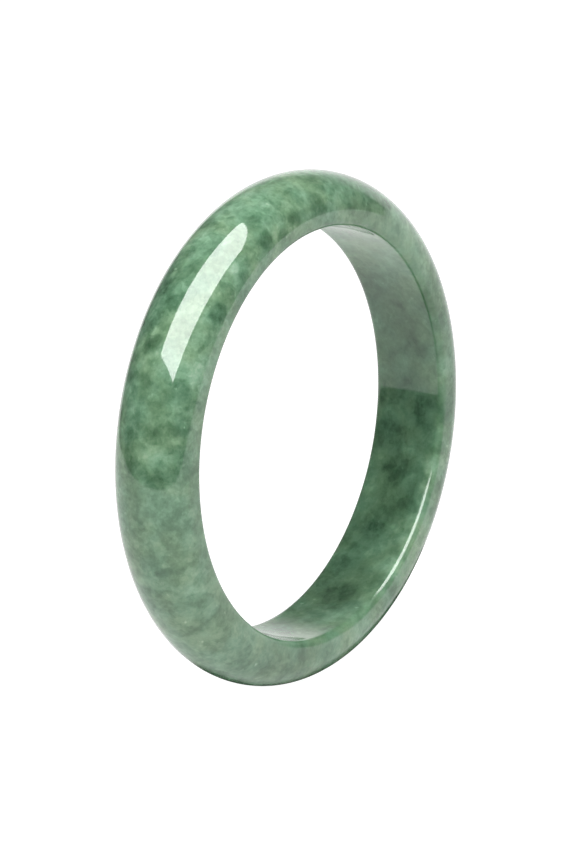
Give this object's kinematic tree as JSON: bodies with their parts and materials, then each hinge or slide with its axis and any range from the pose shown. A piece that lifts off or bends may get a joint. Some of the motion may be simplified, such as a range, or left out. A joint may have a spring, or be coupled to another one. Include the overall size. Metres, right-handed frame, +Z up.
{
  "type": "bangle bracelet",
  "caption": "Closed round stone bangle with a D section: a straight polished bore for the wrist and a domed outside.",
  "frame": {"origin": "centre of the opening, halfway across the band's width", "axes": "+Y along the ring's axis, the way the hand passes through; +Z up, with the ring standing upright on its crown"},
  "size_m": [0.0724, 0.0118, 0.0724],
  "materials": {
    "jade": "polished"
  },
  "bodies": {
    "root": {"bangle_ring": "jade"}
  },
  "joints": []
}
